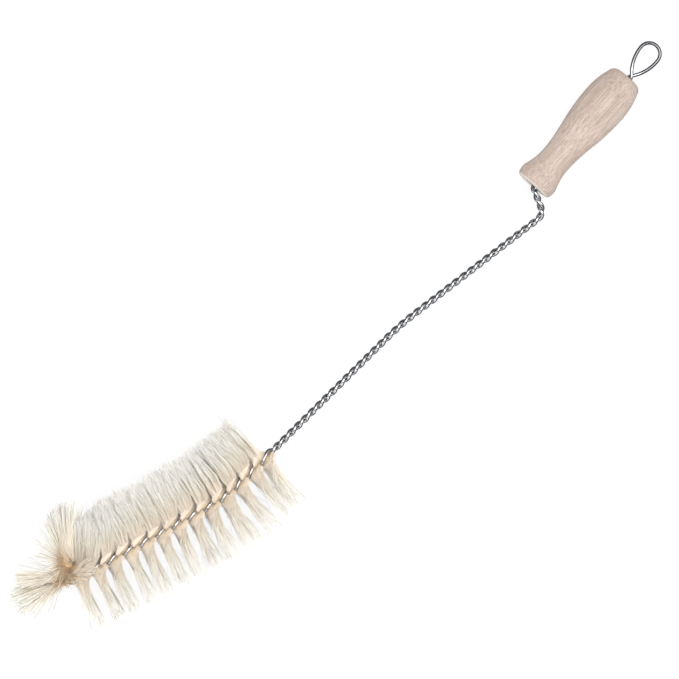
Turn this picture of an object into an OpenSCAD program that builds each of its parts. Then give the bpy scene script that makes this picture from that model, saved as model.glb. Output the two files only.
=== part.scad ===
/* [Wire] */
// Diameter of the galvanised wire
wire_d = 3; // [2.6:0.1:3.4]
// Gap between the two strands where they grip nothing
strand_gap = 0.2; // [0.2:0.02:0.3]
// Length of one full turn of the twist in the stem
stem_pitch = 16.2; // [14:0.2:22]
// Gap between the strands in the head, where they grip the bristles
grip_gap = 1.8; // [1.4:0.1:2.4]

/* [Stem] */
// Distance from the handle's mouth to the corner of the crank
crank_run = 26; // [22:0.5:40]
// Turn at the handle's mouth, in degrees
mouth_turn = 62.7; // [50:0.1:66]
// Turn at the corner of the crank, in degrees
crank_turn = 73.2; // [60:0.1:80]
// Centre-line radius of both crank bends
crank_r = 9; // [8.6:0.1:11]
// Distance from the corner of the crank to the bow in the stem
upper_run = 152; // [120:1:220]
// Angle of the bow in the stem, in degrees
bow_turn = 7.1; // [2:0.1:12]
// Centre-line radius of the bow
bow_r = 280; // [150:10:400]
// Distance from the bow to the first bunch of bristles
lower_run = 159.5; // [130:0.5:220]

/* [Hanging loop] */
// Length of the loop from its neck to its far end, along the wire's centre
loop_length = 33; // [28:0.5:45]
// Width of the loop across the wire's centre
loop_width = 18.2; // [15:0.2:24]
// Sideways turn of the loop from the line of the stem in the bore, in degrees
loop_turn = 3; // [0:0.5:10]
// Length of twisted wire between the handle's end and the neck of the loop
neck_out = 3.4; // [2.5:0.1:8]

/* [Handle] */
// Length of the turned handle
handle_length = 120.6; // [112:0.2:150]
// Diameter of the belly, the widest place
belly_d = 39.6; // [34:0.2:44]
// Distance of the belly from the stem end
belly_at = 90.8; // [84:0.2:98]
// Diameter of the waist, the narrowest place
waist_d = 27; // [23:0.2:30]
// Distance of the waist from the stem end
waist_at = 28.3; // [22:0.2:40]
// Diameter of the collar next to the stem
collar_d = 34.8; // [31:0.2:38]
// Distance of the collar from the stem end
collar_at = 7.5; // [6:0.1:10]
// Diameter of the flat face at the stem end
stem_face_d = 29.2; // [26:0.2:30.8]
// Diameter of the flat face at the loop end
loop_face_d = 19.2; // [16:0.2:21]
// Rounding at the loop end
end_round = 6.1; // [4:0.1:7]
// Diameter of the bore right through the handle
bore_d = 10; // [9:0.1:11]
// Diameter of the flared mouth of the bore at the stem end
mouth_d = 12.2; // [12:0.1:13]
// Depth of the flare
mouth_depth = 7; // [6:0.5:9]
// Clearance between the wire and the wood where the wire bears on the bore
bore_clear = 0.3; // [0.2:0.05:0.5]

/* [Head] */
// Number of bristle bunches along the head, without the tuft at the tip
bunch_count = 13; // [8:1:16]
// Distance between two bunches, half a turn of the twist in the head
bunch_spacing = 15.3; // [14:0.1:18]
// Distance from the first bunch to the bend in the head
head_bend_at = 45.5; // [40:0.5:70]
// Angle of the bend in the head, in degrees
head_turn = 16; // [4:0.5:20]
// Centre-line radius of the bend in the head
head_bend_r = 110; // [100:5:200]
// Distance from the last bunch on the head to the start of the hook
hook_lead = 3; // [2:0.5:5]
// Length of the bend that hooks the end of the wire
hook_length = 27.6; // [26:0.2:34]
// Sideways turn of the hooked end, in degrees
hook_turn = 195; // [160:1:200]
// Upward turn of the hooked end, in degrees
hook_rise = 35; // [25:1:45]
// Straight length of wire beyond the hook
end_run = 5; // [3:0.5:8]

/* [Bristles] */
// Reach of the bristles from the middle of the wire
bristle_reach = 47.5; // [42:0.5:54]
// Width of a tuft where it leaves the wires
tuft_root_w = 7; // [5:0.2:8]
// Width of a tuft at its tip
tuft_tip_w = 13; // [8:0.2:14]
// Width of the first tuft at its tip
first_tip_w = 7; // [5:0.2:8]
// Width of the closed side of a bunch near the wires
mass_root_w = 13.4; // [11:0.2:14]
// Width of the closed side of a bunch at its tip
mass_tip_w = 14.4; // [12:0.2:14.6]
// Angle over which a tuft fans out up and down, in degrees
tuft_fan = 56; // [40:1:60]
// Angle over which the closed side fans out up and down, in degrees
mass_fan = 64; // [50:1:68]
// Forward lean of the open tufts, in degrees
tuft_lean = 3; // [0:1:6]
// Forward lean of the first tuft, in degrees
first_lean = 8; // [6:1:10]
// Backward lean of the closed side next to the hook, in degrees
crowd_lean = 25; // [15:1:28]
// Length of the head over which the closed side takes up that lean
crowd_run = 50; // [40:1:70]
// Clearance between the bristles and the strands that grip them
grip_clear = 0.35; // [0.3:0.05:0.4]

/* [Tip tufts] */
// Width of the tuft on the hook at its end
hook_tuft_w = 28; // [20:1:34]
// Angle over which the tuft on the hook fans out up and down, in degrees
hook_tuft_fan = 38; // [30:1:46]
// Width of the tuft at the end of the wire at its end
end_tuft_w = 22; // [16:1:24]
// Angle over which the tuft at the end of the wire fans out up and down, in degrees
end_tuft_fan = 28; // [20:1:30]
// Rise of the tuft at the end of the wire, in degrees
end_tuft_rise = 24; // [22:1:34]
// Forward lean of the tuft at the end of the wire, in degrees
end_tuft_lean = 18; // [10:1:20]
// Reach of the bristles that stand up inside the hook
inner_reach = 34; // [28:0.5:38]
// Width of the bristles that stand up inside the hook at their ends
inner_w = 8; // [5:0.5:9]
// Angle over which they fan out to each side, in degrees
inner_fan = 18; // [12:1:20]
// Inward tilt of the bristles that stand up inside the hook, in degrees
inner_tilt = 6; // [4:1:10]

/* [Rest] */
// Tilt of the whole brush, lying on its bristles and the handle's belly, in degrees
lie_tilt = 2.1; // [1.5:0.1:2.3]

/* [Hidden] */
wire_sides = 8;
rings_per_stem_turn = 9;
rings_per_head_turn = 14;
spine_step = 1;
handle_sides = 96;
bore_sides = 48;
cut_over = 1;
sliver = 0.01;

// ---- Line of the wire's centre, from the neck of the loop to the tip ----
twist_d = 2 * wire_d + strand_gap;
stem_rho = (wire_d + strand_gap) / 2;
head_rho = (wire_d + grip_gap) / 2;
bore_shift = (bore_d - twist_d) / 2 - bore_clear;
bore_run = neck_out + handle_length;
bore_lean = asin(bore_shift / handle_length);
upper_az = 180 - bow_turn / 2;
crank_az = upper_az + crank_turn;
bore_az = crank_az - mouth_turn;
handle_az = bore_az + 180 + bore_lean;

function arc_length(r, angle) = r * angle * PI / 180;
function arc_tangent(r, angle) = r * tan(angle / 2);

mouth_at = bore_run - arc_tangent(crank_r, mouth_turn);
mouth_end = mouth_at + arc_length(crank_r, mouth_turn);
corner_at = mouth_end + crank_run - arc_tangent(crank_r, mouth_turn)
          - arc_tangent(crank_r, crank_turn);
corner_end = corner_at + arc_length(crank_r, crank_turn);
bow_at = corner_end + upper_run - arc_tangent(crank_r, crank_turn) - arc_tangent(bow_r, bow_turn);
bow_end = bow_at + arc_length(bow_r, bow_turn);
first_bunch = bow_end + lower_run - arc_tangent(bow_r, bow_turn);
bend_at = first_bunch + head_bend_at - arc_tangent(head_bend_r, head_turn);
last_bunch = first_bunch + (bunch_count - 1) * bunch_spacing;
hook_at = last_bunch + hook_lead;
spine_end = hook_at + hook_length + end_run;
head_at = first_bunch - bunch_spacing / 2;

// Each bend: where it starts, how long it is, its sideways turn and its rise
BENDS = [
    [mouth_at, arc_length(crank_r, mouth_turn), mouth_turn, 0],
    [corner_at, arc_length(crank_r, crank_turn), -crank_turn, 0],
    [bow_at, arc_length(bow_r, bow_turn), bow_turn, 0],
    [bend_at, arc_length(head_bend_r, head_turn), -head_turn, 0],
    [hook_at, hook_length, -hook_turn, hook_rise]
];

function part_of(bend, c) = min(max((c - bend[0]) / bend[1], 0), 1);
function azimuth(c) = bore_az + [for (b = BENDS) b[2] * part_of(b, c)] * [for (b = BENDS) 1];
function elevation(c) = [for (b = BENDS) b[3] * part_of(b, c)] * [for (b = BENDS) 1];
function ahead(c) = let (az = azimuth(c), el = elevation(c))
    [cos(el) * cos(az), cos(el) * sin(az), sin(el)];
function aside(c) = [-sin(azimuth(c)), cos(azimuth(c)), 0];
function above(c) = let (az = azimuth(c), el = elevation(c))
    [-sin(el) * cos(az), -sin(el) * sin(az), cos(el)];

spine_count = ceil(spine_end / spine_step) + 4;
SPINE = [for (i = 0, p = [0, 0, 0]; i <= spine_count;
              p = p + spine_step * ahead((i + 0.5) * spine_step), i = i + 1) p];
function spine(c) = let (u = c / spine_step, i = min(max(floor(u), 0), spine_count - 1))
    SPINE[i] + (SPINE[i + 1] - SPINE[i]) * (u - i);

// ---- Twist of the two strands ----
head_pitch = 2 * bunch_spacing;
head_phase = 360 * (head_at - first_bunch) / head_pitch;
start_phase = 360 * round((head_phase - 360 * head_at / stem_pitch) / 360);
function phase(c) = c < head_at ? mix(start_phase, head_phase, c / head_at)
    : 360 * (c - first_bunch) / head_pitch;
function mix(a, b, u) = a + (b - a) * u;
function ease(u) = let (t = min(max(u, 0), 1)) t * t * (3 - 2 * t);
function rho(c) = stem_rho + (head_rho - stem_rho) * ease((c - head_at) / wire_d + 1);
function strand(c, turn) = let (q = phase(c) + turn)
    spine(c) + rho(c) * (sin(q) * aside(c) + cos(q) * above(c));

stem_rings = round(head_at / stem_pitch * rings_per_stem_turn);
head_rings = round((spine_end - head_at) / head_pitch * rings_per_head_turn);
STATIONS = concat(
    [for (i = [0 : stem_rings]) head_at * i / stem_rings],
    [for (i = [1 : head_rings]) head_at + (spine_end - head_at) * i / head_rings]
);
last_station = len(STATIONS) - 1;

// ---- Hanging loop: two side arcs that meet in a round end ----
end_r = loop_width / 2;
loop_angle = 2 * atan(end_r / (loop_length - end_r));
side_r = end_r / (1 - cos(loop_angle));
side_steps = 6;
end_steps = 12;
HALF_LOOP = [for (i = [1 : side_steps]) let (a = loop_angle * (1 - i / side_steps))
    [side_r * (sin(loop_angle) - sin(a)), side_r * (cos(a) - cos(loop_angle))]];
LOOP_END = [for (i = [1 : end_steps - 1]) let (a = 180 * i / end_steps)
    [loop_length - end_r + end_r * sin(a), end_r * cos(a)]];
LOOP = concat(HALF_LOOP, LOOP_END,
    [for (i = [side_steps - 1 : -1 : 0]) [HALF_LOOP[i][0], -HALF_LOOP[i][1]]]);
loop_az = bore_az + 180 + loop_turn;
function loop_point(i) = let (p = LOOP[i], u = (i + 1) / (len(LOOP) + 1))
    [cos(loop_az) * p[0] - sin(loop_az) * p[1], sin(loop_az) * p[0] + cos(loop_az) * p[1],
     stem_rho * cos(180 * u)];

WIRE = concat(
    [for (i = [last_station : -1 : 0]) strand(STATIONS[i], 0)],
    [for (i = [0 : len(LOOP) - 1]) loop_point(i)],
    [for (i = [0 : last_station]) strand(STATIONS[i], 180)]
);

// ---- Outline of the handle: Bezier curves between its named places ----
function bezier(a, b, c, d, steps) = [for (i = [1 : steps]) let (u = i / steps, v = 1 - u)
    v * v * v * a + 3 * v * v * u * b + 3 * v * u * u * c + u * u * u * d];
// Beside each named place the curve holds its direction for a share of the way to the next
collar_hold = 0.16;
waist_hold_down = 0.56;
waist_hold_up = 0.37;
belly_hold_down = 0.45;
belly_hold_up = 0.42;
end_hold = 0.38;
// Slope of the flank where the rounding of the loop end begins
end_slope = 19;
round_steps = 6;
collar = [collar_d / 2, collar_at];
waist = [waist_d / 2, waist_at];
belly = [belly_d / 2, belly_at];
stem_edge = [stem_face_d / 2, 0];
stem_edge_hold = [(collar_d - stem_face_d) / 3, 0.3];
end_centre = [loop_face_d / 2, handle_length - end_round];
end_start = end_centre + end_round * [cos(end_slope), sin(end_slope)];
collar_to_waist = waist_at - collar_at;
waist_to_belly = belly_at - waist_at;
belly_to_end = end_start[1] - belly_at;
function up(length) = [0, length];
OUTLINE = concat(
    [[0, 0], stem_edge],
    bezier(stem_edge, stem_edge + stem_edge_hold, collar - up(collar_at / 2), collar, 6),
    bezier(collar, collar + up(collar_to_waist * collar_hold),
           waist - up(collar_to_waist * waist_hold_down), waist, 10),
    bezier(waist, waist + up(waist_to_belly * waist_hold_up),
           belly - up(waist_to_belly * belly_hold_down), belly, 12),
    bezier(belly, belly + up(belly_to_end * belly_hold_up),
           end_start - belly_to_end * end_hold * [-sin(end_slope), cos(end_slope)], end_start, 8),
    [for (i = [1 : round_steps]) let (a = mix(end_slope, 90, i / round_steps))
        end_centre + end_round * [cos(a), sin(a)]],
    [[0, handle_length]]
);

// ---- How the brush lies: tilted, its lowest places at height 0 ----
FACE = spine(mouth_at) + arc_tangent(crank_r, mouth_turn) * ahead(mouth_at);
handle_dir = [cos(handle_az) * cos(lie_tilt), sin(handle_az), -cos(handle_az) * sin(lie_tilt)];
function tilted(p) = [p[0] * cos(lie_tilt) + p[2] * sin(lie_tilt), p[1],
                      p[2] * cos(lie_tilt) - p[0] * sin(lie_tilt)];
function handle_low(axis) = min([for (q = OUTLINE) tilted(FACE)[axis] + q[1] * handle_dir[axis]
                                 - q[0] * sqrt(1 - pow(handle_dir[axis], 2))]);
function handle_high(axis) = max([for (q = OUTLINE) tilted(FACE)[axis] + q[1] * handle_dir[axis]
                                  + q[0] * sqrt(1 - pow(handle_dir[axis], 2))]);
floor_z = handle_low(2);
function lifted(p) = tilted(p) - [0, 0, floor_z];

// ---- Bristle bunches ----
// A bunch is a sheet of bristles that passes between the strands and spreads into a petal on
// each side. Across it a runs from -1 to 1, turning with the strands; b is -1 on one of its
// faces and 1 on the other.
sheet_cover = 0.84;
hook_cover = 0.34;
sheet_run = bunch_spacing / 2 * sheet_cover;
hook_sheet_run = bunch_spacing / 2 * hook_cover;
sheet_half_t = grip_gap / 2 - grip_clear;
exit_r = head_rho + wire_d / 2 + grip_clear;
set_r = 3 * exit_r;
across_steps = 6;
outer_steps = 3;
REACHES = [for (share = [0, 0.5, 1, 1.5, 2.2, 3]) share * exit_r];
// 0 would spread the bristles evenly over a fan; more crowds them towards its middle
fan_crowding = 0.4;

// One side of a bunch: the direction of its middle, measured from straight up, its fan and
// lean, its width along the wire near the wires and at its tip, and its reach. The share of
// that width that lies towards the handle is 1 but for the side that starts the head.
function side(middle, fan, lean, root_w, tip_w, reach, back = 1) =
    [middle, fan, lean, root_w / 2, tip_w / 2, reach, back];

// The closed side of the last bunch on the head stays below the hooked end of the wire
below_middle = -122;
below_fan = 32;
start_back = 0.1;

function open_side(k) = side(middle = 90, fan = tuft_fan, root_w = tuft_root_w,
    lean = k == 1 ? first_lean : tuft_lean, tip_w = k == 1 ? first_tip_w : tuft_tip_w,
    reach = bristle_reach);
function closed_side(k) = side(middle = k == bunch_count ? below_middle : -90,
    fan = k == bunch_count ? below_fan : mass_fan, lean = 0, root_w = mass_root_w,
    tip_w = mass_tip_w, reach = bristle_reach, back = k == 1 ? start_back : 1);
inner_side = side(middle = -inner_tilt, fan = inner_fan, lean = 0, root_w = inner_w / 3,
    tip_w = inner_w, reach = inner_reach);
MAIN_BUNCHES = [for (k = [1 : bunch_count])
    [first_bunch + (k - 1) * bunch_spacing, open_side(k), closed_side(k), sheet_run]];
TIP_BUNCHES = [
    [last_bunch + bunch_spacing,
     side(middle = 90, fan = hook_tuft_fan, lean = 0, root_w = tuft_root_w,
          tip_w = hook_tuft_w, reach = bristle_reach),
     inner_side, hook_sheet_run],
    [last_bunch + 2 * bunch_spacing,
     side(middle = 90 - end_tuft_rise, fan = end_tuft_fan, lean = end_tuft_lean,
          root_w = tuft_root_w, tip_w = end_tuft_w, reach = bristle_reach),
     inner_side, hook_sheet_run]
];

// Lean of the closed side, crowded back towards the handle near the hook
function crowd(c) = crowd_lean * min(max(1 - (last_bunch - c) / crowd_run, 0), 1);

function bunch_ring(bunch, right, a, b, r) = let (
        petal = bunch[right ? 1 : 2],
        on_head = bunch[0] <= last_bunch,
        u = ease((r - exit_r) / (set_r - exit_r)),
        half_w = mix(petal[3], petal[4], (r - exit_r) / (petal[5] - exit_r)),
        sign = right ? 1 : -1,
        shift = -sign * b * half_w * (sign * b > 0 ? petal[6] : 1),
        root_c = bunch[0] + a * bunch[3],
        set_c = on_head ? min(bunch[0] + shift, hook_at) : bunch[0],
        c = min(mix(root_c, set_c, u), spine_end),
        own = phase(root_c) + 90
            - 180 * floor((phase(bunch[0]) + 90) / 180) + (right ? 0 : -180),
        q = mix(own, petal[0] + a * abs(a) ^ fan_crowding * petal[1], u),
        lean = u * (petal[2] - (on_head && !right ? crowd(c) : 0)),
        out = sin(q) * aside(c) + cos(q) * above(c),
        across = sign * (cos(q) * aside(c) - sin(q) * above(c)
            - r * 2 * PI / head_pitch * ahead(c)),
        p = spine(c) + r * (cos(lean) * out + sin(lean) * ahead(c))
          + (on_head ? 0 : u * shift) * ahead(c)
          + b * sheet_half_t * (1 - u) * across / norm(across)
    ) lifted(p);

function to_floor(bunch, right, a, b) = let (
        near = bunch_ring(bunch, right, a, b, set_r),
        reach = bunch[right ? 1 : 2][5],
        far = bunch_ring(bunch, right, a, b, reach)
    ) far[2] >= 0 ? reach : mix(set_r, reach, near[2] / (near[2] - far[2]));

function side_line(bunch, right, a, b) = let (end = to_floor(bunch, right, a, b))
    concat([for (r = REACHES) bunch_ring(bunch, right, a, b, r)],
           [for (i = [1 : outer_steps]) let (p = bunch_ring(bunch, right, a, b,
                mix(set_r, end, i / outer_steps))) [p[0], p[1], max(p[2], 0)]]);

function bunch_line(bunch, a, b) = let (l = side_line(bunch, false, a, b),
        r = side_line(bunch, true, a, b))
    concat([for (i = [len(l) - 1 : -1 : 1]) l[i]], r);

line_len = 2 * (len(REACHES) + outer_steps) - 1;

// Closed skin over two sheets of lines, the lower sheet first
function skin(rows, cols) = let (
        at = function (s, i, j) (s * (rows + 1) + i) * cols + j,
        quad = function (p, q, r, t) [[p, r, q], [p, t, r]])
    [for (i = [0 : rows - 1], j = [0 : cols - 2], f = concat(
        quad(at(0, i, j), at(0, i + 1, j), at(0, i + 1, j + 1), at(0, i, j + 1)),
        quad(at(1, i, j), at(1, i, j + 1), at(1, i + 1, j + 1), at(1, i + 1, j)))) f,
     for (j = [0 : cols - 2], f = concat(
        quad(at(0, 0, j), at(0, 0, j + 1), at(1, 0, j + 1), at(1, 0, j)),
        quad(at(0, rows, j), at(1, rows, j), at(1, rows, j + 1), at(0, rows, j + 1)))) f,
     for (i = [0 : rows - 1], f = concat(
        quad(at(0, i, 0), at(1, i, 0), at(1, i + 1, 0), at(0, i + 1, 0)),
        quad(at(0, i, cols - 1), at(0, i + 1, cols - 1), at(1, i + 1, cols - 1),
             at(1, i, cols - 1)))) f];

function bunch_points(bunch) = [for (b = [-1, 1], i = [0 : across_steps],
    p = bunch_line(bunch, 2 * i / across_steps - 1, b)) p];

// ---- Swept tube ----
any_way = [0.3, 0.5, 0.8];
function unit(v) = v / norm(v);
function tube_points(path, r, sides) = let (
        n = len(path),
        dirs = [for (i = [0 : n - 1]) unit(path[min(i + 1, n - 1)] - path[max(i - 1, 0)])],
        ups = [for (i = 0, v = unit(cross(dirs[0], any_way)); i < n;
                    i = i + 1, v = i < n ? unit(v - (v * dirs[i]) * dirs[i]) : v) v])
    [for (i = [0 : n - 1], j = [0 : sides - 1]) let (a = 360 * j / sides)
        path[i] + r * (cos(a) * ups[i] + sin(a) * cross(dirs[i], ups[i]))];
function tube_faces(n, sides) = concat(
    [[for (j = [0 : sides - 1]) j], [for (j = [sides - 1 : -1 : 0]) (n - 1) * sides + j]],
    [for (i = [0 : n - 2], j = [0 : sides - 1]) let (k = (j + 1) % sides)
        each [[i * sides + j, (i + 1) * sides + j, (i + 1) * sides + k],
              [i * sides + j, (i + 1) * sides + k, i * sides + k]]]
);

// ---- The origin lies under the middle of the whole brush ----
WIRE_LAID = [for (p = WIRE) lifted(p)];
ALL_BUNCHES = concat(MAIN_BUNCHES, TIP_BUNCHES);
BUNCH_POINTS = [for (bunch = ALL_BUNCHES) bunch_points(bunch)];
function low(axis) = min([min([for (p = WIRE_LAID) p[axis] - wire_d / 2]), handle_low(axis),
    min([for (s = BUNCH_POINTS) min([for (p = s) p[axis]])])]);
function high(axis) = max([max([for (p = WIRE_LAID) p[axis] + wire_d / 2]), handle_high(axis),
    max([for (s = BUNCH_POINTS) max([for (p = s) p[axis]])])]);
MIDDLE = [(low(0) + high(0)) / 2, (low(1) + high(1)) / 2, 0];

function two_digits(k) = str(k < 10 ? "0" : "", k);
BUNCH_NAMES = concat([for (k = [1 : bunch_count]) str("bristle_bunch_", two_digits(k))],
                     ["tip_tuft_01", "tip_tuft_02"]);

module twisted_wire() {
    color("silver")
        translate(-MIDDLE)
            polyhedron(tube_points(WIRE_LAID, wire_d / 2, wire_sides),
                       tube_faces(len(WIRE_LAID), wire_sides));
}

module handle() {
    color("burlywood")
        translate(-MIDDLE - [0, 0, floor_z])
            rotate([0, lie_tilt, 0])
                translate(FACE)
                    rotate([0, 0, handle_az])
                        rotate([0, 90, 0])
                            difference() {
                                rotate_extrude($fn = handle_sides) polygon(OUTLINE);
                                translate([0, 0, -cut_over])
                                    cylinder(d = bore_d, h = handle_length + 2 * cut_over,
                                             $fn = bore_sides);
                                translate([0, 0, -sliver])
                                    cylinder(d1 = mouth_d, d2 = bore_d, h = mouth_depth,
                                             $fn = bore_sides);
                            }
}

module bristle_bunch(i) {
    color("cornsilk")
        translate(-MIDDLE)
            polyhedron(BUNCH_POINTS[i], skin(across_steps, line_len));
}

twisted_wire();
handle();
for (i = [0 : len(BUNCH_NAMES) - 1])
    bristle_bunch(i);
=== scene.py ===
import math
from collections import namedtuple

import bpy
import numpy as np
from mathutils import Euler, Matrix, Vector


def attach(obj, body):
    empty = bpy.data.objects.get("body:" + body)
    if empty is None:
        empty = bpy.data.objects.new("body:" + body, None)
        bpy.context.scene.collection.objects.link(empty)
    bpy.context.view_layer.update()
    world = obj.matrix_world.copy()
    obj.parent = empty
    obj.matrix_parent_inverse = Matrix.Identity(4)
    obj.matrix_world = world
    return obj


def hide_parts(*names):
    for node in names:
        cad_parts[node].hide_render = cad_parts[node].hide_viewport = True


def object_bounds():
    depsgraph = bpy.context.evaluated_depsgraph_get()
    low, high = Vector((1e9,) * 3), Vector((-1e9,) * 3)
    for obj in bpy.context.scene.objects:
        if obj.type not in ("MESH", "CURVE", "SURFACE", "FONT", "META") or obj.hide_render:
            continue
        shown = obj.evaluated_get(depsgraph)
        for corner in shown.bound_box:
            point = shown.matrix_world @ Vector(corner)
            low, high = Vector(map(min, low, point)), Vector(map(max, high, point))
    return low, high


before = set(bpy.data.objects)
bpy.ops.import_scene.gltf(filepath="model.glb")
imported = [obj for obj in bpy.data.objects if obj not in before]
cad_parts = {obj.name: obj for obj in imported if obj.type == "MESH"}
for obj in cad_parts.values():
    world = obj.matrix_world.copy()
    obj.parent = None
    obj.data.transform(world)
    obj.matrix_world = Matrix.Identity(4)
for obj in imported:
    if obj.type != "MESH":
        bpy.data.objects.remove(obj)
cad_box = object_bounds()

# ---- Camera ----
# It looks straight down on the brush from high up, through a long lens, and is turned so that
# the brush lies across the view from the lower left to the upper right.
scene = bpy.context.scene
view_middle = (-0.00596, 0.01731)
view_width = 0.56746
view_turn = math.radians(41.06)
camera_height = 4.0
wire_level = 0.030
bpy.ops.object.camera_add(location=(*view_middle, camera_height), rotation=(0, 0, -view_turn))
camera = bpy.context.object
camera.data.sensor_width = 36
camera.data.lens = camera.data.sensor_width * (camera_height - wire_level) / view_width
camera.data.clip_end = 5 * camera_height
scene.camera = camera

# ---- Floor ----
# A wide sheet of white paper, perfectly plain, on which the brush lies. The camera sees it
# nearly white, with the brush's shadow on it, and the metal mirrors it dim.
floor_width = 8.0
floor_drop = 0.0003
share_seen_white = 0.92
bpy.ops.mesh.primitive_plane_add(size=floor_width, location=(0, 0, -floor_drop))
floor = bpy.context.object
floor.name = "floor"


def new_material(name):
    """A new material, its nodes, its links and the node that holds its finish."""
    stuff = bpy.data.materials.new(name)
    stuff.use_nodes = True
    tree = stuff.node_tree
    return stuff, tree.nodes, tree.links, tree.nodes["Principled BSDF"]


def either(share, first, second):
    """The first shader, or by share the second."""
    node = nodes.new("ShaderNodeMixShader")
    links.new(share, node.inputs["Fac"])
    links.new(first, node.inputs[1])
    links.new(second, node.inputs[2])
    return node.outputs["Shader"]


paper, nodes, links, bsdf = new_material("paper")
bsdf.inputs["Base Color"].default_value = (0.97, 0.97, 0.97, 1)
bsdf.inputs["Roughness"].default_value = 0.9
bsdf.inputs["Specular IOR Level"].default_value = 0.0
ray = nodes.new("ShaderNodeLightPath")
share_white = nodes.new("ShaderNodeMath")
share_white.operation = "MULTIPLY"
share_white.inputs[1].default_value = share_seen_white
links.new(ray.outputs["Is Camera Ray"], share_white.inputs[0])
seen_white = nodes.new("ShaderNodeEmission")
seen_white.inputs["Strength"].default_value = 1.0
dim_paper = nodes.new("ShaderNodeBsdfDiffuse")
dim_paper.inputs["Color"].default_value = (0.16, 0.16, 0.16, 1)
to_camera = either(share_white.outputs["Value"], bsdf.outputs["BSDF"],
                   seen_white.outputs["Emission"])
to_metal = either(ray.outputs["Is Glossy Ray"], to_camera, dim_paper.outputs["BSDF"])
links.new(to_metal, nodes["Material Output"].inputs["Surface"])
floor.data.materials.append(paper)

# ---- Light ----
# A white studio: an even white surround, a large soft box high overhead, and small ones in
# front at both sides and behind on the left. The metal mirrors low dark flags all round.
scene.view_settings.view_transform = "Standard"
studio = bpy.data.worlds.new("studio")
scene.world = studio
studio.use_nodes = True


def ramp(source, *stops):
    """Colours that follow source: each stop is a place from 0 to 1 and the colour there."""
    node = nodes.new("ShaderNodeValToRGB")
    while len(node.color_ramp.elements) < len(stops):
        node.color_ramp.elements.new(0.5)
    for element, (position, colour) in zip(node.color_ramp.elements, stops):
        element.position = position
        element.color = (*colour, 1)
    links.new(source, node.inputs["Fac"])
    return node.outputs["Color"]


def blended(kind, share, first, second):
    """The first colour blended by share with the second. Each of the three is a node's output,
    or else a constant."""
    node = nodes.new("ShaderNodeMix")
    node.data_type = "RGBA"
    node.blend_type = kind
    for name, value in (("Factor", share), ("A", first), ("B", second)):
        if isinstance(value, bpy.types.NodeSocket):
            links.new(value, node.inputs[name])
        else:
            node.inputs[name].default_value = value
    return node.outputs["Result"]


def along_axis(place, axis):
    """How far a place or a direction lies along one axis."""
    node = nodes.new("ShaderNodeSeparateXYZ")
    links.new(place, node.inputs["Vector"])
    return node.outputs[axis]


nodes, links = studio.node_tree.nodes, studio.node_tree.links
surround = nodes["Background"]
surround.inputs["Strength"].default_value = 0.42
steepness = along_axis(nodes.new("ShaderNodeTexCoord").outputs["Generated"], "Z")
flags = ramp(steepness, (0.4, (0.18, 0.18, 0.18)), (0.85, (1, 1, 1)))
in_metal = nodes.new("ShaderNodeLightPath").outputs["Is Glossy Ray"]
links.new(blended("MIX", in_metal, (1, 1, 1, 1), flags), surround.inputs["Color"])

for name, across, back, height, size, watts in (
        ("overhead_box", 0.4, 0.1, 4.8, 2.4, 150), ("right_box", 1.0, -0.6, 1.3, 0.9, 9),
        ("left_box", -1.0, -0.8, 1.2, 1.0, 7), ("back_box", -1.3, 0.9, 0.8, 1.0, 6)):
    bpy.ops.object.light_add(type="AREA")
    lamp = bpy.context.object
    lamp.name = name
    lamp.data.shape = "SQUARE"
    lamp.data.size = size
    lamp.data.energy = watts
    lamp.location = (across, back, height)
    lamp.rotation_euler = (-lamp.location).to_track_quat("-Z", "Y").to_euler()

# ---- Twisted wire ----
# One galvanised steel wire, folded in two. The fold is the hanging loop, and its two legs run
# through the handle, are twisted together left-handed, grip the bristles and end in a hook.

# Sizes are in millimetres and turns in degrees
METRE = 1000
wire_d = 3.0
strand_gap = 0.2
grip_gap = 1.8
stem_pitch = 16.2
crank_run, crank_r, mouth_turn, crank_turn = 26, 9.0, 62.7, 73.2
upper_run, bow_r, bow_turn = 152, 280.0, 7.1
lower_run = 159.5
handle_length, neck_out = 120.6, 3.4
bunch_count = 13
bunch_spacing = 15.3
head_bend_at, head_bend_r, head_turn = 45.5, 110.0, 16.0
hook_lead, hook_length, hook_turn, hook_rise = 3, 27.6, 195, 35
end_run = 5
stem_rho = (wire_d + strand_gap) / 2
head_rho = (wire_d + grip_gap) / 2
head_pitch = 2 * bunch_spacing
bore_az = 180 - bow_turn / 2 + crank_turn - mouth_turn
# Where the neck of the loop lies when the brush rests on its handle and bristles, and its tilt
neck_place = np.array([323.621, 23.2154, 18.6524])
lie_tilt = math.radians(2.1)


def arc(radius, turn):
    """Length of a bend along its centre line."""
    return radius * math.radians(turn)


def tangent(radius, turn):
    """Distance from either end of a bend to the corner that it rounds off."""
    return radius * math.tan(math.radians(turn) / 2)


# Places along the wires' common centre line, measured from the neck of the loop
mouth_at = neck_out + handle_length - tangent(crank_r, mouth_turn)
corner_at = (mouth_at + arc(crank_r, mouth_turn) + crank_run - tangent(crank_r, mouth_turn)
             - tangent(crank_r, crank_turn))
bow_at = (corner_at + arc(crank_r, crank_turn) + upper_run - tangent(crank_r, crank_turn)
          - tangent(bow_r, bow_turn))
first_bunch = bow_at + arc(bow_r, bow_turn) + lower_run - tangent(bow_r, bow_turn)
last_bunch = first_bunch + (bunch_count - 1) * bunch_spacing
head_at = first_bunch - bunch_spacing / 2
hook_at = last_bunch + hook_lead
wire_end = hook_at + hook_length + end_run
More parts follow.
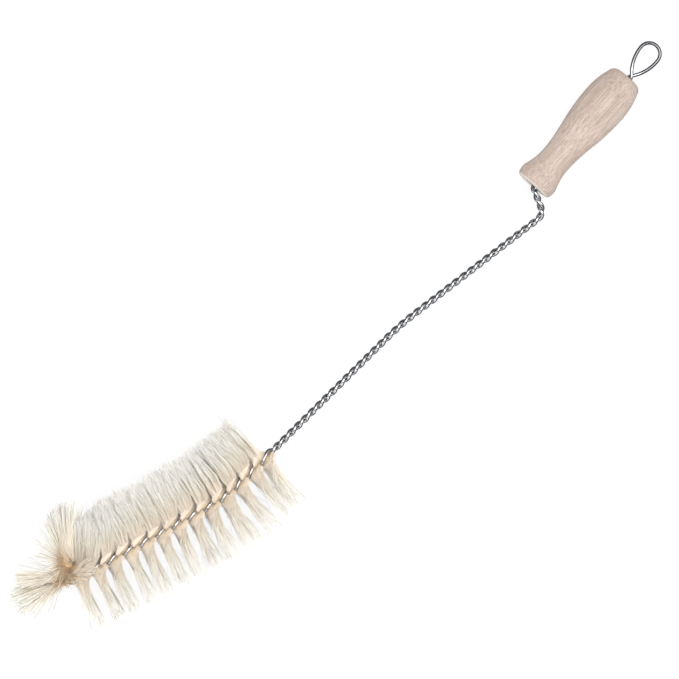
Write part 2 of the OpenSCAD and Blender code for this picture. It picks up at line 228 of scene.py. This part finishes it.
# Each bend of that line: start, length, turn sideways, rise
bends = np.array([
    (mouth_at, arc(crank_r, mouth_turn), mouth_turn, 0),
    (corner_at, arc(crank_r, crank_turn), -crank_turn, 0),
    (bow_at, arc(bow_r, bow_turn), bow_turn, 0),
    (first_bunch + head_bend_at - tangent(head_bend_r, head_turn), arc(head_bend_r, head_turn),
     -head_turn, 0),
    (hook_at, hook_length, -hook_turn, hook_rise),
])


def heading(c):
    """Direction of the wires' centre line at length c, and the two directions across it."""
    share = np.clip((np.asarray(c)[..., None] - bends[:, 0]) / bends[:, 1], 0, 1)
    az = np.radians(bore_az + share @ bends[:, 2])
    el = np.radians(share @ bends[:, 3])
    ahead = np.stack([np.cos(el) * np.cos(az), np.cos(el) * np.sin(az), np.sin(el)], -1)
    aside = np.stack([-np.sin(az), np.cos(az), 0 * az], -1)
    above = np.stack([-np.sin(el) * np.cos(az), -np.sin(el) * np.sin(az), np.cos(el)], -1)
    return ahead, aside, above


line_step = 1.0
line_spare = 6
line_at = np.arange(0, math.ceil(wire_end) + line_spare) * line_step
line_steps = line_step * heading(line_at[:-1] + line_step / 2)[0]
line_points = np.concatenate([np.zeros((1, 3)), np.cumsum(line_steps, 0)])


def line_point(c):
    """The point of the wires' centre line at length c."""
    return np.stack([np.interp(c, line_at, line_points[:, axis]) for axis in range(3)], -1)


def laid(points):
    """From the axes of the bore, which start at the neck of the loop, to the brush as it lies."""
    x, y, z = points[..., 0], points[..., 1], points[..., 2]
    return np.stack([x * math.cos(lie_tilt) + z * math.sin(lie_tilt), y,
                     z * math.cos(lie_tilt) - x * math.sin(lie_tilt)], -1) + neck_place


def mix(a, b, share):
    """A value that goes from a to b as share goes from 0 to 1."""
    return a + (b - a) * share


def ease(share):
    """A share that starts and ends gently, and stays from 0 to 1."""
    t = np.clip(share, 0, 1)
    return t * t * (3 - 2 * t)


head_phase = 360 * (head_at - first_bunch) / head_pitch
start_phase = 360 * round((head_phase - 360 * head_at / stem_pitch) / 360)


def phase(c):
    """How far the twist has turned at length c, in degrees."""
    return np.where(c < head_at, mix(start_phase, head_phase, c / head_at),
                    360 * (c - first_bunch) / head_pitch)


def strand(c, turn):
    """The middle of one leg of the wire at length c: turn is 0 for one leg, 180 for the other."""
    ahead, aside, above = heading(c)
    q = np.radians(phase(c) + turn)[:, None]
    rho = mix(stem_rho, head_rho, ease((c - head_at) / wire_d + 1))[:, None]
    return line_point(c) + rho * (np.sin(q) * aside + np.cos(q) * above)


# The loop is two side arcs that meet in a round end
loop_length, loop_width, loop_turn = 33.0, 18.2, 3.0
side_steps, end_steps = 24, 40
end_r = loop_width / 2
loop_angle = 2 * math.atan(end_r / (loop_length - end_r))
side_r = end_r / (1 - math.cos(loop_angle))
side_arc = [(side_r * (math.sin(loop_angle) - math.sin(a)),
             side_r * (math.cos(a) - math.cos(loop_angle)))
            for a in np.linspace(loop_angle, 0, side_steps + 1)[1:]]
end_arc = [(loop_length - end_r + end_r * math.sin(a), end_r * math.cos(a))
           for a in np.linspace(0, math.pi, end_steps + 1)[1:-1]]
loop = np.array(side_arc + end_arc + [(x, -y) for x, y in reversed(side_arc)])
loop_az = math.radians(bore_az + 180 + loop_turn)
loop_share = np.linspace(0, 1, len(loop) + 2)[1:-1]
loop_points = np.stack([math.cos(loop_az) * loop[:, 0] - math.sin(loop_az) * loop[:, 1],
                        math.sin(loop_az) * loop[:, 0] + math.cos(loop_az) * loop[:, 1],
                        stem_rho * np.cos(math.pi * loop_share)], -1)

stem_rings, head_rings = 640, 300
rings_at = np.concatenate([np.linspace(0, head_at, stem_rings)[:-1],
                           np.linspace(head_at, wire_end, head_rings)])
wire_line = laid(np.concatenate([strand(rings_at[::-1], 0), loop_points, strand(rings_at, 180)]))
wire_curve = bpy.data.curves.new("twisted_wire_line", "CURVE")
wire_curve.dimensions = "3D"
wire_curve.bevel_depth = wire_d / 2 / METRE
wire_curve.bevel_resolution = 6
wire_curve.use_fill_caps = True
wire_curve.twist_mode = "MINIMUM"
spline = wire_curve.splines.new("POLY")
spline.points.add(len(wire_line) - 1)
spline_points = np.concatenate([wire_line / METRE, np.ones((len(wire_line), 1))], 1)
spline.points.foreach_set("co", spline_points.ravel())
wire = bpy.data.objects.new("galvanised_wire", wire_curve)
scene.collection.objects.link(wire)
for other in bpy.context.selected_objects:
    other.select_set(False)
wire.select_set(True)
bpy.context.view_layer.objects.active = wire
bpy.ops.object.convert(target="MESH")
wire = bpy.context.object
bpy.ops.object.mode_set(mode="EDIT")
bpy.ops.mesh.select_all(action="SELECT")
bpy.ops.mesh.remove_doubles(threshold=0.00001)
bpy.ops.mesh.normals_make_consistent(inside=False)
bpy.ops.object.mode_set(mode="OBJECT")
bpy.ops.object.shade_smooth_by_angle(angle=math.radians(40))


def rescaled(source, low, high, at_low=0, at_high=1):
    """A value that goes from at_low to at_high while source goes from low to high."""
    node = nodes.new("ShaderNodeMapRange")
    for name, value in (("From Min", low), ("From Max", high), ("To Min", at_low),
                        ("To Max", at_high)):
        node.inputs[name].default_value = value
    links.new(source, node.inputs["Value"])
    return node.outputs["Result"]


def raised(pattern, strength, distance):
    """Relief on the surface of the material in hand, where pattern is high."""
    node = nodes.new("ShaderNodeBump")
    node.inputs["Strength"].default_value = strength
    node.inputs["Distance"].default_value = distance
    links.new(pattern, node.inputs["Height"])
    links.new(node.outputs["Normal"], bsdf.inputs["Normal"])


zinc, nodes, links, bsdf = new_material("galvanised_steel")
bsdf.inputs["Metallic"].default_value = 1.0
place = nodes.new("ShaderNodeTexCoord").outputs["Object"]
spangle_noise = nodes.new("ShaderNodeTexNoise")
spangle_noise.inputs["Scale"].default_value = 700
spangle_noise.inputs["Detail"].default_value = 4
links.new(place, spangle_noise.inputs["Vector"])
spangle = spangle_noise.outputs["Fac"]
bright = ramp(spangle, (0.35, (0.42, 0.43, 0.45)), (0.65, (0.66, 0.67, 0.69)))
# The hanging loop's metal is painted dark, a painted shade for the dark surroundings it would
# mirror, fully so past the second limit along the x axis
loop_shade_from, loop_shade_to, most_loop_shade = 0.322, 0.334, 0.9
painted_loop_shade = rescaled(along_axis(place, "X"), loop_shade_from, loop_shade_to, 0, most_loop_shade)
# Painted shade: the loop's zinc colour is mixed towards near black
zinc_with_painted_shade = blended("MIX", painted_loop_shade, bright, (0.10, 0.10, 0.11, 1))
links.new(zinc_with_painted_shade, bsdf.inputs["Base Color"])
links.new(rescaled(spangle, 0, 1, 0.16, 0.30), bsdf.inputs["Roughness"])
raised(spangle, 0.15, 0.0002)
wire.data.materials.clear()
wire.data.materials.append(zinc)
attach(wire, "root")
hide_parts("twisted_wire")

# ---- Handle ----
# Turned from one piece of pale beech, drilled right through and sanded, without varnish. The
# grain runs along it, with the short dark flecks that beech has.
beech, nodes, links, bsdf = new_material("beech")
# The wood is placed on the axes of the bore
along_handle = nodes.new("ShaderNodeMapping")
handle_turn = (0, -lie_tilt, -math.radians(bore_az - 180))
neck_turned = Euler(handle_turn).to_matrix() @ Vector(neck_place / METRE)
along_handle.inputs["Rotation"].default_value = handle_turn
along_handle.inputs["Location"].default_value = -neck_turned
links.new(nodes.new("ShaderNodeTexCoord").outputs["Object"], along_handle.inputs["Vector"])
wood_place = along_handle.outputs["Vector"]


def stretched_noise(scale, detail, roughness):
    """Noise in the wood, drawn out along the handle by the three factors of scale."""
    stretch = nodes.new("ShaderNodeMapping")
    stretch.inputs["Scale"].default_value = scale
    links.new(wood_place, stretch.inputs["Vector"])
    noise = nodes.new("ShaderNodeTexNoise")
    noise.inputs["Scale"].default_value = 1
    noise.inputs["Detail"].default_value = detail
    noise.inputs["Roughness"].default_value = roughness
    links.new(stretch.outputs["Vector"], noise.inputs["Vector"])
    return noise.outputs["Fac"]


bands = stretched_noise((5, 140, 140), 3, 0.5)
streaks = stretched_noise((10, 1100, 1100), 4, 0.65)
flecks = stretched_noise((520, 2600, 2600), 2, 0.5)
wood = ramp(bands, (0.3, (0.49, 0.395, 0.34)), (0.7, (0.58, 0.485, 0.43)))
wood = blended("MULTIPLY", 0.9, wood,
               ramp(streaks, (0.36, (0.68, 0.63, 0.59)), (0.60, (1.08, 1.07, 1.07))))
wood = blended("MULTIPLY", 0.6, wood,
               ramp(flecks, (0.34, (0.66, 0.56, 0.50)), (0.44, (1, 1, 1))))
# The end face at the stem is painted paler, painted light that lifts the shade on that upright face
end_face = -(neck_out + handle_length) / METRE
end_light_edge, end_light_depth = 0.0011, 0.0004
painted_end_light = rescaled(along_axis(wood_place, "X"), end_face + end_light_edge, end_face + end_light_depth)
# Painted light: the end face's wood colour is mixed towards a pale tan
wood = blended("MIX", painted_end_light, wood, (0.70, 0.64, 0.58, 1))
links.new(wood, bsdf.inputs["Base Color"])
bsdf.inputs["Roughness"].default_value = 0.55
raised(streaks, 0.12, 0.0003)
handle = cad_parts["handle"]
handle.data.materials.clear()
handle.data.materials.append(beech)

# ---- Bristle bunches ----
# Natural bristle, laid between the two wires before they were twisted. Each half turn parts it
# into a bunch, which spreads into an open tuft on one side and joins a dense mass on the other.
bristle_stuff, nodes, links, bsdf = new_material("natural_bristle")
bsdf.inputs["Roughness"].default_value = 0.5
along_bristle = nodes.new("ShaderNodeAttribute")
along_bristle.attribute_name = "along"
bristle_tone = nodes.new("ShaderNodeAttribute")
bristle_tone.attribute_name = "tone"
root_to_tip = ramp(
    along_bristle.outputs["Fac"], (0.0, (0.78, 0.59, 0.38)), (0.06, (0.80, 0.67, 0.51)),
    (0.10, (0.82, 0.72, 0.59)), (0.16, (0.91, 0.815, 0.70)), (0.25, (0.985, 0.905, 0.795)),
    (0.5, (0.99, 0.935, 0.825)), (0.75, (0.99, 0.965, 0.90)), (1.0, (0.99, 0.985, 0.965)))
tones = ramp(
    bristle_tone.outputs["Fac"], (0.0, (0.40, 0.36, 0.31)), (0.05, (0.62, 0.57, 0.51)),
    (0.07, (0.99, 0.98, 0.97)), (1.0, (1, 1, 1)))
# The odd darker bristles show most towards their tips
tone_share = rescaled(along_bristle.outputs["Fac"], 0.1, 0.6, 0.2, 1)
links.new(blended("MULTIPLY", tone_share, root_to_tip, tones), bsdf.inputs["Base Color"])

# The sheet of bristles that the wires grip, and the distance from their centre at which it
# comes out between them
grip_clear = 0.35
sheet_cover, hook_sheet_cover = 0.84, 0.34
sheet_run = bunch_spacing / 2 * sheet_cover
hook_sheet_run = bunch_spacing / 2 * hook_sheet_cover
sheet_half_t = grip_gap / 2 - grip_clear
exit_r = head_rho + wire_d / 2 + grip_clear
# Just before they are out the bristles begin to turn to their places in the fan, and the
# undersides take longest. Further out they are drawn together into their petal.
turn_lead, turn_run, below_turn_more = 0.6, 5.5, 1.4
draw_from = 5.0
# The outermost bristles spill over the end of the next wire turn. The spill grows from
# spill_from over spill_in, and goes from spill_to over spill_out.
spill, spill_from, spill_in, spill_to, spill_out = 1.5, 2.5, 3, 6, 5
# The upper half of a bunch opens less than the lower, and near the hook the mass leans back
upper_fan_share = 0.66
crowd_lean, crowd_run = 25.0, 50.0
bristle_reach = 47.5
past_reach = 1.1
# Bristles that reach the floor lie along it, and none strays far out of the brush's own box
bristle_low = np.array(cad_box[0]) * METRE + (-2.0, -2.0, 0.15)
bristle_high = np.array(cad_box[1]) * METRE + (1.5, 3.0, 1.5)
chance = np.random.default_rng(11)

# One side of a bunch: the direction of its middle, from straight up, the angle that it fans
# out to each side of that, its lean towards the tip, its width along the wire near the wires
# and at its end, and its reach. back widens or narrows the half that lies towards the handle.
Petal = namedtuple("Petal", "middle fan lean root_w tip_w reach back", defaults=[1])
# How bristles leave the wires on the right and on the left, seen from the tip. sign and
# turn_back tell the sides apart. draw_run is the run over which they are drawn together, and
# below_draw how much shorter it is for the undersides. crowding is 0 where they fill the fan
# evenly, and more where they crowd to its middle. The others say how they vary: spread across
# the petal, rounding of its end, longest against its reach, and late in their turn.
Side = namedtuple("Side", "sign turn_back draw_run below_draw crowding spread rounding longest late")
RIGHT = Side(sign=1, turn_back=0, draw_run=15.0, below_draw=0.45, crowding=0.5, spread=0.11,
             rounding=0.05, longest=1.035, late=(0.35, 1.1))
LEFT = Side(sign=-1, turn_back=180, draw_run=7.0, below_draw=0, crowding=0.1, spread=0.17,
            rounding=0.02, longest=1.055, late=(0.6, 1.5))


def bristle_points(centre, run, side, petal, a, b, r, late):
    """Points of bristles at distances r from the wires' centre: a is the place across the fan,
    b the place across the petal's width, both from about -1 to 1, and late how long each takes
    to turn from the wires into its fan."""
    on_head = centre <= last_bunch
    below = np.clip(side.sign * a, 0, 1)
    turn_length = turn_run * late * (1 + below_turn_more * below)
    set_share = ease((r - exit_r + turn_lead) / turn_length)
    drawn_share = ease((r - draw_from) / (side.draw_run * (1 - side.below_draw * below)))
    out_share = np.clip((r - exit_r) / (petal.reach - exit_r), 0, past_reach)
    half_w = mix(petal.root_w, petal.tip_w, out_share ** 2) / 2
    shift = -side.sign * b * half_w * np.where(side.sign * b > 0, petal.back, 1)
    spilt = (spill * a * np.abs(a) ** 3 * ease((r - spill_from) / spill_in)
             * (1 - ease((r - spill_to) / spill_out)))
    root_c = centre + a * run + spilt
    set_c = np.minimum(centre + shift, hook_at) if on_head else centre
    c = np.minimum(mix(root_c, set_c, drawn_share), wire_end)
    # A bristle leaves the wires as the twist stands there, and turns to its place in the fan.
    # The small number keeps a bunch that stands just at a half turn from falling short of it.
    half_turn = 180 * math.floor((phase(centre) + 90) / 180 + 1e-9)
    own = phase(root_c - spilt) + 90 - half_turn - side.turn_back
    fan_share = np.where(on_head & (below == 0), upper_fan_share, 1)
    fan_place = a * np.abs(a) ** side.crowding * fan_share
    q = np.radians(mix(own, petal.middle + fan_place * petal.fan, set_share))[..., None]
    crowded = crowd_lean * np.clip(1 - (last_bunch - c) / crowd_run, 0, 1)
    lean_angle = petal.lean - (crowded if on_head and side is LEFT else 0)
    lean = np.radians(set_share * lean_angle)[..., None]
    ahead, aside, above = heading(c)
    out = np.sin(q) * aside + np.cos(q) * above
    across = side.sign * (np.cos(q) * aside - np.sin(q) * above
                          - r[..., None] * 2 * math.pi / head_pitch * ahead)
    across /= np.linalg.norm(across, axis=-1, keepdims=True)
    points = line_point(c) + r[..., None] * (np.cos(lean) * out + np.sin(lean) * ahead)
    if not on_head:
        points = points + (drawn_share * shift)[..., None] * ahead
    return laid(points + (b * sheet_half_t * (1 - set_share))[..., None] * across)


def bristle_side(centre, run, side, petal, count, tangle, tan=0, gather=0.12):
    """Centre lines of one side's bristles, and how far from root to tip their colour is at
    each point. tangle is how far each strays from its place in the fan, in degrees, tan the
    share of a full bristle over which it keeps its root colour, and gather how far the tips
    are drawn into locks."""
    bristles_per_lock, fewest_locks, fan_weight = 8, 6, 9
    locks = max(fewest_locks, count // bristles_per_lock)
    lock_a, lock_b = chance.uniform(-1, 1, locks), chance.uniform(-1, 1, locks)
    fan_edge, width_edge = 1.19, 0.94
    a = chance.uniform(-fan_edge, fan_edge, count)
    b = width_edge * chance.uniform(-1, 1, count) + chance.normal(0, side.spread, count)
    nearest = np.argmin((a[:, None] - lock_a) ** 2 * fan_weight + (b[:, None] - lock_b) ** 2, 1)
    # Most are cut to one length, a little shorter at the tuft's edges, and some fall short
    uneven, short_share, shortest = 0.04, 0.2, 0.72
    shares = side.longest - np.abs(chance.normal(0, uneven, count)) - side.rounding * b ** 2
    long = petal.reach * shares
    short = chance.random(count) < short_share
    long[short] *= chance.uniform(shortest, 1, short.sum())
    inside_r, turned_r, free_r, point_share = 0.2, 6.2, 9.5, 0.96
    r = np.tile(np.array([inside_r, exit_r, turned_r, free_r, 0, 0, 0]), (count, 1))
    r[:, 4] = mix(free_r, long, 0.5)
    r[:, 5] = point_share * long
    r[:, 6] = long
    share = np.clip((r - exit_r) / (petal.reach - exit_r), 0, 1)
    draw = gather * share ** 3
    # How far each is from its place in the fan, which grows over the first third of its length
    stray = chance.normal(0, tangle / petal.fan, count)[:, None] * np.clip(share * 3, 0, 1)
    a_all = mix(a[:, None], lock_a[nearest][:, None], draw) + stray
    b_all = mix(b[:, None], lock_b[nearest][:, None], draw)
    late = chance.uniform(*side.late, count)[:, None]
    points = bristle_points(centre, run, side, petal, a_all, b_all, r, late)
    # Each is bowed a little, and a few are wild
    wild_share, wild_bow, calm_bow, most_bow = 0.07, 3.5, 0.5, 1.8
    bow_size = np.where(chance.random(count) < wild_share, wild_bow, calm_bow)[:, None]
    bow = np.clip(chance.normal(0, 1, (count, 3)), -most_bow, most_bow) * bow_size
    points += bow[:, None, :] * (share ** 2)[..., None]
    points = np.clip(points, bristle_low, bristle_high)
    return points, np.clip(r / bristle_reach - tan, 0, 1)


def bristle_mesh(name, lines, along_values, darker):
    """Every bristle as a thin three-sided prism with a short pointed end. darker above 1 makes
    more of them dark."""
    count, rings = lines.shape[0], lines.shape[1] - 1
    direction = np.diff(lines, axis=1)
    direction = np.concatenate([direction[:, :1], direction[:, 1:] + direction[:, :-1]], 1)
    direction /= np.linalg.norm(direction, axis=-1, keepdims=True)
    # Two directions across each bristle, and the corners of its rings round them
    any_way = chance.normal(0, 1, (count, 1, 3))
    first = np.cross(direction, any_way)
    first /= np.linalg.norm(first, axis=-1, keepdims=True)
    second = np.cross(direction, first)
    bristle_radii = np.array([0.17, 0.17, 0.17, 0.165, 0.155, 0.14])
    radius = bristle_radii[None, :, None, None]
    corner = np.radians([0, 120, 240])
    ring = (lines[:, :-1, None, :] + radius * (np.cos(corner)[:, None] * first[:, :, None, :]
                                               + np.sin(corner)[:, None] * second[:, :, None, :]))
    per = 3 * rings + 1
    verts = np.concatenate([ring.reshape(count, -1, 3), lines[:, -1:, :]], 1)
    verts = verts.reshape(-1, 3) / METRE
    floor_clear = 0.00005
    verts[:, 2] = np.maximum(verts[:, 2], floor_clear)
    # One bristle's faces: its root, its sides and its point
    faces = [(2, 1, 0)]
    for k in range(rings - 1):
        for j in range(3):
            n = (j + 1) % 3
            faces.append((3 * k + j, 3 * k + n, 3 * k + 3 + n, 3 * k + 3 + j))
    last = 3 * (rings - 1)
    faces += [(last + j, last + (j + 1) % 3, per - 1) for j in range(3)]
    all_faces = [tuple(v + per * i for v in face) for i in range(count) for face in faces]
    mesh = bpy.data.meshes.new(name)
    mesh.from_pydata(verts.tolist(), [], all_faces)
    along = np.concatenate([np.repeat(along_values[:, :-1], 3, axis=1), along_values[:, -1:]], 1)
    tone = np.repeat(chance.random(count) ** darker, per)
    for attribute, values in (("along", along.ravel()), ("tone", tone)):
        data = mesh.attributes.new(attribute, "FLOAT", "POINT").data
        data.foreach_set("value", values.astype(np.float32))
    piece = bpy.data.objects.new(name, mesh)
    scene.collection.objects.link(piece)
    mesh.materials.append(bristle_stuff)
    return piece


def bristle_piece(name, node, sides, darker):
    """One bunch of bristles, in place of the node that stands for it."""
    lines, values = zip(*sides)
    piece = bristle_mesh(name, np.concatenate(lines), np.concatenate(values), darker)
    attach(piece, "root")
    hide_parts(node)


# No two bunches are quite alike. The first is sparser and leans more, and the mass of the
# last is turned down, clear of the hooked end of the wire, with shorter bristles ahead of it.
tuft_middle, mass_middle, last_middle = 90, -90, -108
tuft_fan, mass_fan, last_fan = 56, 64, 50
tuft_lean, first_lean, lean_varies = 3, 8, 1.2
tuft_root_w, first_root_w, mass_root_w = 6.8, 9.5, 16.4
tuft_tip_w, first_tip_w, mass_tip_w = 12.2, 15.0, 13.8
width_varies, reach_varies = 0.12, 0.03
second_back, first_mass_back = 1.3, 0.1
tuft_bristles, first_tuft_bristles = 660, 300
mass_bristles, first_mass_bristles = 900, 620
ahead_of_last = Petal(middle=-95, fan=50, lean=24, root_w=8.0, tip_w=14.0, reach=34.0)
for k in range(1, bunch_count + 1):
    first, last = k == 1, k == bunch_count
    centre = first_bunch + (k - 1) * bunch_spacing
    open_lean, closed_lean = chance.normal(0, lean_varies, 2)
    open_w, open_reach, closed_reach = (
        1 + chance.uniform(-1, 1, 3) * (width_varies, reach_varies, reach_varies))
    tuft = Petal(middle=tuft_middle, fan=tuft_fan,
                 lean=first_lean if first else tuft_lean + open_lean,
                 root_w=first_root_w if first else tuft_root_w * open_w,
                 tip_w=first_tip_w if first else tuft_tip_w * open_w,
                 reach=bristle_reach * open_reach, back=second_back if k == 2 else 1)
    mass = Petal(middle=last_middle if last else mass_middle, fan=last_fan if last else mass_fan,
                 lean=0 if first else closed_lean, root_w=mass_root_w, tip_w=mass_tip_w,
                 reach=bristle_reach * closed_reach, back=first_mass_back if first else 1)
    sides = [bristle_side(centre, sheet_run, RIGHT, tuft, tangle=12, gather=0.3,
                          count=first_tuft_bristles if first else tuft_bristles),
             bristle_side(centre, sheet_run, LEFT, mass, tangle=9, gather=0.05,
                          count=first_mass_bristles if first else mass_bristles)]
    if last:
        sides.append(bristle_side(centre, sheet_run, LEFT, ahead_of_last, count=300, tangle=13,
                                  tan=0.08))
    bristle_piece(f"bristles_{k:02d}", f"bristle_bunch_{k:02d}", sides,
                  darker=1.4 if first else 1)

# ---- Tufts on the hook ----
# The last two bunches sit on the hooked end of the wires. They burst outwards all round the
# hook, and inside it their bristles stand up in a short tan cone.

# Each petal has its number of bristles and how far they stray. Inside the hook, the last
# number is the share of a full bristle that stays tan.
hook_outwards = (
    (Petal(90, 38, 0, 7.0, 26.0, bristle_reach), 800, 7),
    (Petal(84, 30, 27, 6.0, 16.0, 41.0), 260, 12))
hook_inwards = (
    (Petal(-16, 40, 0, 5.0, 16.0, 22.0), 320, 14, 0.34),
    (Petal(-58, 30, 0, 5.0, 16.0, 30.0), 340, 10, 0.22))
end_outwards = (
    (Petal(80, 22, 14, 7.0, 20.0, 51.0), 800, 5),
    (Petal(26, 34, 4, 6.0, 16.0, 45.0), 110, 12))
end_inwards = (
    (Petal(0, 40, 0, 5.0, 16.0, 18.0), 250, 16, 0.3),
    (Petal(-42, 30, 0, 5.0, 14.0, 17.0), 300, 12, 0.27),
    (Petal(-95, 40, 46, 5.0, 8.0, 15.0), 130, 16, 0.28))
for k, outwards, inwards in ((1, hook_outwards, hook_inwards), (2, end_outwards, end_inwards)):
    centre = last_bunch + k * bunch_spacing
    sides = [bristle_side(centre, hook_sheet_run, RIGHT, *burst, tan=0.06) for burst in outwards]
    sides += [bristle_side(centre, hook_sheet_run, LEFT, *burst) for burst in inwards]
    bristle_piece(f"tip_bristles_{k:02d}", f"tip_tuft_{k:02d}", sides, darker=1.6)
